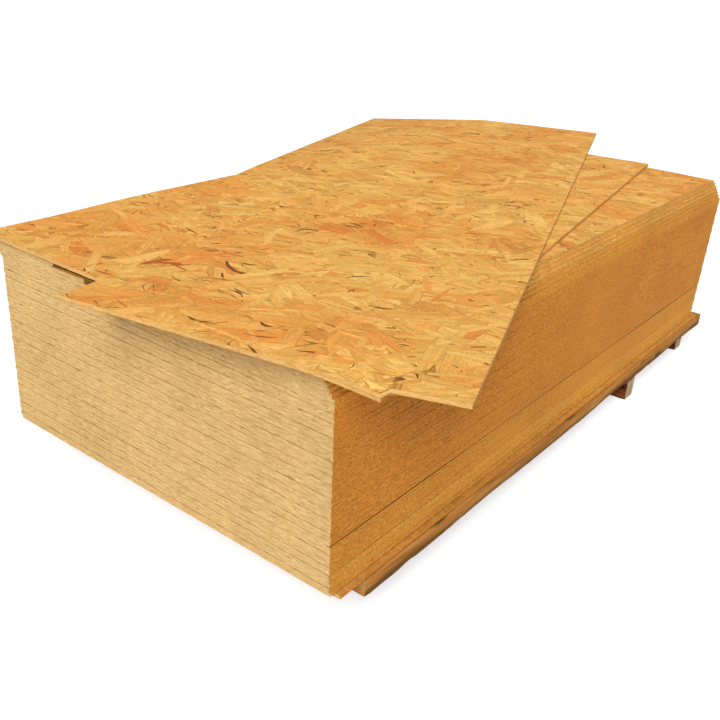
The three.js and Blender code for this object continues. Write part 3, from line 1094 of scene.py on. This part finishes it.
def build_sheet(name, rng, edges, sides=(), open_joint=(0, 0), face=FACE, broken_end=()):
    """One sheet as an object: its body, with the finish of its faces, and strands on the named sides. A
    height is the body's own, times what is left of the thickness, minus the solid's fall and the sheet's
    sag."""
    sheet = slabs[name]
    thickness = sheet["top"] - sheet["bottom"]
    cut_top, cut_under = (MAT_DEPTH if side in sides else 0 for side in ("top", "under"))
    places, faces, finish = sheet_body(sheet, thickness - cut_top - cut_under, rng, edges, sides,
                                       steps.get(name, 0), open_joint, broken_end)
    finish[finish == FACE] = face
    places[:, 2] += cut_under
    tone, grain = np.full(len(places), 0.5), np.zeros((len(places), 3))
    for side in sides:
        marks = MARKED.get(name, ()) if side == "top" else ()
        more, more_faces, more_tone, more_grain = strand_layer(sheet, side, rng, marks)
        more[:, 2] += thickness if side == "top" else 0
        faces = faces + [tuple(v + len(places) for v in f) for f in more_faces]
        finish = np.concatenate([finish, np.full(len(more_faces), STRAND)])
        places = np.vstack([places, more])
        tone, grain = np.append(tone, more_tone), np.vstack([grain, more_grain])
    if name == "loose_sheet_upper":
        places[:, 0] += askew_end(places[:, 0], places[:, 1])
    plan = to_place(sheet, places[:, 0], places[:, 1])
    height = sheet["bottom"] + places[:, 2] * (1 - thinning[name](plan) if name in thinning else 1)
    height -= np.interp(plan[:, 1], *sheet["fall"])
    if name in sags:
        height -= sags[name](plan)
    piece = mesh_piece(name + "_board", np.column_stack([plan, height]), faces, finish, board_finishes, tone,
                       grain)
    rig.replaces(piece, name)
    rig.ride(piece, "root")
    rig.slot(piece, "osb")
    return piece


# %% [markdown]
# ## Building the sheets
#
# The pack was made up of three smaller ones, so along the near long side the joints between them are open
# wider than the rest, as is the one over the cover sheet, and show as long dark lines, with painted shade
# on their walls. Their sides differ in tone. The topmost sheets stand out like a stair, so strips of their
# faces show; those of the top four, with the long sides of the top eight, are painted lighter, as painted
# light from above, and the rest are browner. The near ends of three sheets under the top one are broken
# away a little, with painted shade on the walls of the break. The cover sheet's face is browner where it
# shows as a ledge.

# %% Building the sheets
# The last sheets of the two packs at the bottom, and how many at the top get the palest painted light,
# are fanned out, and get some painted light on their long sides.
LOW_PACK, MID_PACK = 5, 12
PALEST_LIT, FANNED, LIT_BAND = 4, 6, 8
# The joint over so many sheets of the pack, and how much it is opened.
WIDE_JOINTS = {MID_PACK: 1.8 * MM, LOW_PACK: 0.9 * MM, 0: 2.6 * MM}
# Where a break in a near end starts, is deep, stays deep and ends, in metres from the near long side.
BROKEN_ENDS = {stack_names[-2]: (0.64, 0.7, 0.93, 1.04), stack_names[-3]: (0.64, 0.7, 0.9, 1.0),
               stack_names[-4]: (0.64, 0.66, 0.74, 0.9)}
CUT_EDGES = (CUT_EDGE,) * 4


def pack_finishes(level, from_top):
    """The finishes of a pack sheet's long sides and of the strips of its faces that show, by its level,
    counted from 1, and by how many sheets lie on it."""
    if level == 1:
        return LOW_SIDE, LEDGE
    # The strips of face between two sheets take the arris finish, which is painted shade.
    if level <= LOW_PACK:
        return LOW_SIDE, ARRIS_PAINTED_SHADE
    if level <= MID_PACK:
        return MID_SIDE, ARRIS_PAINTED_SHADE
    # The long sides of the top eight sheets are painted lighter, palest in the top four: painted light on the stair
    # that they make.
    if from_top < PALEST_LIT:
        return TOP_SIDE, TOP_SIDE
    if from_top < FANNED:
        return LOW_SIDE, LEDGE
    if from_top < LIT_BAND:
        return MID_SIDE, LEDGE
    return SIDE, ARRIS_PAINTED_SHADE


rng = np.random.default_rng(20)
for level, name in enumerate(stack_names, start=1):
    from_top = len(stack_names) - level
    joint = (WIDE_JOINTS.get(level - 1, 0), WIDE_JOINTS.get(level, 0))
    long_side, face = pack_finishes(level, from_top)
    end, strand_sides = (END, ()) if from_top else (CUT_EDGE, ("top",))
    build_sheet(name, rng, (long_side, end, long_side, end), strand_sides, joint, face,
                BROKEN_ENDS.get(name, ()))
build_sheet("cover_sheet", rng, (SIDE, END, SIDE, END), (), (WIDE_JOINTS[0], 0), LEDGE)
build_sheet("loose_sheet_lower", rng, CUT_EDGES, ("top", "under"))
build_sheet("loose_sheet_middle", rng, (CUT_EDGE, CUT_EDGE, CUT_EDGE, FACE), ("top", "under"))
build_sheet("loose_sheet_upper", rng, CUT_EDGES, ("top", "under"))
for o in scene.objects:
    if o.name.endswith("_board") and len(o.data.polygons) > 10000:
        print(o.name, "triangles:", sum(len(p.vertices) - 2 for p in o.data.polygons))

# %% [markdown]
# ## Timbers
#
# The bearers and the planks are softwood straight from the saw: flat but furry, with arrises that are never
# quite sharp and now and then fall away where the log's round outside was left on, which sawyers call wane.
# The solids have plain eased edges, so each is made anew as a section carried along its length. The section
# is a rectangle whose four corners are rounded, each with a radius that changes along the timber.

# %% The body of a timber
STATION_STEP = 22 * MM
FEWEST_STATIONS = 8
CORNER_POINTS = 5
# A corner's radius changes from station to station between these shares of the arris.
ARRIS_SPREAD = (0.7, 1.5)
FUR = 0.5 * MM
END_FUR = 1.2 * MM
END_ROUGHNESS = 0.2 * MM
SAWN_LONG, SAWN_END = range(2)


def timber_body(start, end, width, height, arris, wane, rng):
    """A closed timber from u = start to end: at each station, a corner's points are its centre + radius *
    (cos, sin), pulled in by the saw's fur. wane is rows of (corner, place, reach, depth), which widen a
    corner's radius. Returns (vertices as u, v, w), faces, finish of each."""
    count = max(FEWEST_STATIONS, int(round((end - start) / STATION_STEP)))
    u = np.linspace(start, end, count)
    turn = np.linspace(0, math.pi / 2, CORNER_POINTS)
    angle = (np.arange(4)[:, None] * math.pi / 2 + turn).ravel()
    corner = np.repeat(np.arange(4), CORNER_POINTS)
    radius = arris * rng.uniform(*ARRIS_SPREAD, (count, 4))
    for k, place, reach, depth in wane:
        radius[:, k] += depth * (1 - ease(np.abs(u - place) / reach))
    r = radius[:, corner]
    v = np.where(np.isin(corner, (0, 3)), width - r, r) + r * np.cos(angle)
    w = np.where(np.isin(corner, (0, 1)), height - r, r) + r * np.sin(angle)
    fur = FUR * rng.uniform(0, 1, r.shape)
    fur[[0, -1]] += END_FUR
    v += fur * np.sign(width / 2 - v)
    w += fur * np.sign(height / 2 - w)
    around = r.shape[1]
    ring = np.repeat(u[:, None], around, 1)
    ring[0] += END_ROUGHNESS * rng.uniform(0, 1, around)
    vertices = np.stack([ring, v, w], -1).reshape(-1, 3)
    i = np.arange(around)
    j = (i + 1) % around
    k = np.arange(count - 1)[:, None] * around
    walls = np.stack([k + i, k + j, k + around + j, k + around + i], -1).reshape(-1, 4)
    ends = [i[::-1].tolist(), ((count - 1) * around + i).tolist()]
    finish = np.concatenate([np.full(len(walls), SAWN_LONG), [SAWN_END, SAWN_END]])
    return vertices, walls.tolist() + ends, finish


# %% [markdown]
# ## The finish of sawn softwood
#
# Softwood shows bands of early and late wood along its length, a saw's faint cross marks, and knots, dark
# and round, that the bands flow past. The bands are noise stretched along the timber, some 33 mm wide, with
# fibres of 4 mm in them, which is coarser than real fibre so that it shows. The knots are the few cells of
# a stretched Voronoi pattern whose middles are near. The lowest part of the plank is stained dark by damp.

# %% The finish of sawn softwood
STAIN_WANDER = 30 * MM
STAIN_TOP, STAIN_FULL = 22 * MM, 6 * MM


def softwood_finish(name, stops, knot, damp):
    """Bands along u: noise stretched along the timber through the stops, with knots where a cell's middle
    is near, and below the height damp a darker stain of the same colour as the knots."""
    material, tree, shader = new_material(name)
    grain = add(tree, "ShaderNodeAttribute", attribute_name="grain")
    flow = add(tree, "ShaderNodeMapping", {"Scale": (fits(454.5), fits(33.33), fits(33.33))},
               {"Vector": grain.outputs["Vector"]})
    flow = add(tree, "ShaderNodeTexNoise", {"Scale": 1.0, "Detail": 5.0, "Roughness": 0.62},
               {"Vector": flow.outputs["Vector"]})
    fibre = add(tree, "ShaderNodeMapping", {"Scale": (fits(111.1), fits(3.846), fits(3.846))},
                {"Vector": grain.outputs["Vector"]})
    fibre = add(tree, "ShaderNodeTexNoise", {"Scale": 1.0, "Detail": 3.0},
                {"Vector": fibre.outputs["Vector"]})
    both = add(tree, "ShaderNodeMath", {1: 0.35}, {0: fibre.outputs["Fac"], 2: flow.outputs["Fac"]},
               operation="MULTIPLY_ADD")
    colour = add(tree, "ShaderNodeValToRGB", links={"Fac": both.outputs[0]}, stops=stops)
    cells = add(tree, "ShaderNodeMapping", {"Scale": (fits(238.1), fits(71.43), fits(71.43))},
                {"Vector": grain.outputs["Vector"]})
    cells = add(tree, "ShaderNodeTexVoronoi", {"Scale": 1.0}, {"Vector": cells.outputs["Vector"]})
    mask = add(tree, "ShaderNodeMapRange", {"From Min": 0.24, "From Max": 0.12},
               {"Value": cells.outputs["Distance"]})
    mixed = add(tree, "ShaderNodeMix", {7: tint(knot)},
                {0: mask.outputs["Result"], 6: colour.outputs["Color"]}, data_type="RGBA")
    level = add(tree, "ShaderNodeSeparateXYZ", links={"Vector": grain.outputs["Vector"]})
    level = add(tree, "ShaderNodeMath", {1: STAIN_WANDER}, {0: flow.outputs["Fac"], 2: level.outputs["Z"]},
                operation="MULTIPLY_ADD")
    stain = add(tree, "ShaderNodeMapRange",
                {"From Min": damp + STAIN_TOP, "From Max": damp + STAIN_FULL, "To Max": 0.7},
                {"Value": level.outputs[0]})
    mixed = add(tree, "ShaderNodeMix", {7: tint(knot)}, {0: stain.outputs["Result"], 6: mixed.outputs[2]},
                data_type="RGBA")
    marks = add(tree, "ShaderNodeTexWave", {"Scale": fits(11.11), "Distortion": 2.0},
                {"Vector": grain.outputs["Vector"]})
    rough = add(tree, "ShaderNodeMath", {1: 0.35}, {0: marks.outputs["Fac"], 2: fibre.outputs["Fac"]},
                operation="MULTIPLY_ADD")
    complete(tree, shader, mixed.outputs[2], 0.85, 0.12, rough.outputs[0], 0.5, 0.8 * MM)
    return material


# %% [markdown]
# ## The finish of end grain
#
# A timber's end shows the log's rings of growth as arcs about a pith that lies outside the timber. They are
# a sine of the distance from the pith, with a ring every 7 mm, pushed about by noise.

# %% The finish of end grain
RING_WIDTH = 6.981
PITH = (0, 30 * MM, 45 * MM)


def end_grain_finish(name, stops):
    """Rings of growth: sin(2 pi * (distance from the pith + noise) / RING_WIDTH), mixed with a mottle."""
    material, tree, shader = new_material(name)
    grain = add(tree, "ShaderNodeAttribute", attribute_name="grain")
    flat = add(tree, "ShaderNodeMapping", {"Location": PITH, "Scale": (0, 1, 1)},
               {"Vector": grain.outputs["Vector"]})
    away = add(tree, "ShaderNodeVectorMath", {}, {0: flat.outputs["Vector"]}, operation="LENGTH")
    mottle = add(tree, "ShaderNodeTexNoise", {"Scale": fits(25), "Detail": 3.0},
                 {"Vector": grain.outputs["Vector"]})
    pushed = add(tree, "ShaderNodeMath", {1: 12 * MM}, {0: mottle.outputs["Fac"], 2: away.outputs["Value"]},
                 operation="MULTIPLY_ADD")
    rings = add(tree, "ShaderNodeMath", {1: 2 * math.pi * fits(RING_WIDTH)}, {0: pushed.outputs[0]},
                operation="MULTIPLY")
    rings = add(tree, "ShaderNodeMath", {}, {0: rings.outputs[0]}, operation="SINE")
    rings = add(tree, "ShaderNodeMapRange", {"From Min": -1.0, "From Max": 1.0}, {"Value": rings.outputs[0]})
    both = add(tree, "ShaderNodeMath", {1: 0.4}, {0: rings.outputs["Result"], 2: mottle.outputs["Fac"]},
               operation="MULTIPLY_ADD")
    colour = add(tree, "ShaderNodeValToRGB", links={"Fac": both.outputs[0]}, stops=stops)
    complete(tree, shader, colour.outputs["Color"], 0.9, 0.1)
    return material


# Brown pine with golden bands: the planks.
plank_long = softwood_finish("sawn_pine_plank", [(0.45, "#7C4E1E"), (0.58, "#A26A2E"), (0.7, "#BE803C"),
                                                 (0.85, "#D09852")], "#5E4420", 22 * MM)
plank_end = end_grain_finish("pine_plank_end", [(0.3, "#84592C"), (0.6, "#A4763E"), (0.9, "#B88C52")])
# Pine painted dark red-brown, as painted shade for the shade under the pack, with paler grey-tan ends: the
# bearers.
painted_shade_bearer_long = softwood_finish("painted_shade_pine_bearer",
                              [(0.45, "#3E1C0C"), (0.6, "#5A2C14"), (0.75, "#74401F"), (0.9, "#8E5A34")],
                              "#2A1206", 0.0)
bearer_end = end_grain_finish("weathered_pine_end", [(0.3, "#8A7250"), (0.6, "#AE946E"), (0.9, "#C4AC88")])
print("timber finishes:", [m.name for m in (plank_long, plank_end, painted_shade_bearer_long, bearer_end)])

# %% [markdown]
# ## Building the timbers
#
# The near plank is two lengths butted end to end, with a gap that a coin would fill. The planks lie along X
# and the bearers along Y, so a timber's own u, v and w become x, y and z in the one case and y, -x and z in
# the other. Both are turns, never mirror images, so the faces keep facing outwards.

# %% Building the timbers
PLANK_ARRIS, BEARER_ARRIS = 2.2 * MM, 3 * MM
JOIN_PLACE = 1.84
JOIN_GAP = 3 * MM
# Wane, as rows of corner, place along the timber, reach and depth. Corner 2 is the low one on the near
# side.
LOW_NEAR = 2
NEAR_WANE = [(LOW_NEAR, 0.186, 0.05, 7 * MM), (LOW_NEAR, 0.6, 0.3, 8 * MM), (LOW_NEAR, 1.5, 0.25, 11 * MM),
             (LOW_NEAR, 2.2, 0.3, 9 * MM)]
FAR_WANE = [(LOW_NEAR, 0.9, 0.5, 11 * MM)]
BEARER_WANE_PLACES = (0.2, 1.0)
BEARER_WANE_REACH, BEARER_WANE_DEPTH = 0.35, 12 * MM
# Each timber's grain starts at a place of its own within this many metres of a long pattern.
GRAIN_REACH = 8


def long_of(name, lies_along_x):
    """A timber's length, from its node's box."""
    low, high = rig.box(name)
    return float(high[0] - low[0]) if lies_along_x else float(high[1] - low[1])


def build_timber(name, lies_along_x, spans, arris, wane, finishes, rng):
    """A timber in its node's box, as one closed body for each (start, end) span of its length."""
    low, high = (np.array(corner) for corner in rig.box(name))
    size = high - low
    width = size[1] if lies_along_x else size[0]
    vertices, faces, finish = np.empty((0, 3)), [], np.empty(0, int)
    for start, end in spans:
        more, more_faces, more_finish = timber_body(start, end, width, size[2], arris, wane, rng)
        faces += [tuple(v + len(vertices) for v in f) for f in more_faces]
        finish = np.concatenate([finish, more_finish])
        vertices = np.vstack([vertices, more])
    u, v, w = vertices.T
    x, y = (low[0] + u, low[1] + v) if lies_along_x else (high[0] - v, low[1] + u)
    grain = vertices + rng.uniform(0, GRAIN_REACH, 3) * (1, 0, 0)
    piece = mesh_piece(name + "_timber", np.column_stack([x, y, low[2] + w]), faces, finish, finishes,
                       np.full(len(vertices), 0.5), grain)
    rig.replaces(piece, name)
    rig.ride(piece, "root")
    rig.slot(piece, "sawn_timber")
    return piece


plank_length = long_of("stringer_near", True)
near_spans = [(0, JOIN_PLACE), (JOIN_PLACE + JOIN_GAP, plank_length)]
plank_finishes, bearer_finishes = (plank_long, plank_end), (painted_shade_bearer_long, bearer_end)
build_timber("stringer_near", True, near_spans, PLANK_ARRIS, NEAR_WANE, plank_finishes, rng)
build_timber("stringer_far", True, [(0, plank_length)], PLANK_ARRIS, FAR_WANE, plank_finishes, rng)
for name in sorted(n for n in nodes if n.startswith("bearer_")):
    wane = [(int(rng.integers(0, 4)), float(rng.uniform(*BEARER_WANE_PLACES)), BEARER_WANE_REACH,
             BEARER_WANE_DEPTH)]
    build_timber(name, False, [(0, long_of(name, False))], BEARER_ARRIS, wane, bearer_finishes, rng)
print("timbers:", [o.name for o in scene.objects if o.name.endswith("_timber")])

# %% [markdown]
# ## Sizes
#
# The finished pack has to fill the solids' box and no more, so both boxes are written down side by side.

# %% Sizes
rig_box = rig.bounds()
json.dump({"cad": [list(map(float, c)) for c in cad_box], "visual": [list(map(float, c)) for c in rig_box]},
          open("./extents.json", "w"))
apart = max((a - b).length for a, b in zip(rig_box, cad_box))
print("the box differs from the solids' by %.2f mm" % (apart / MM))
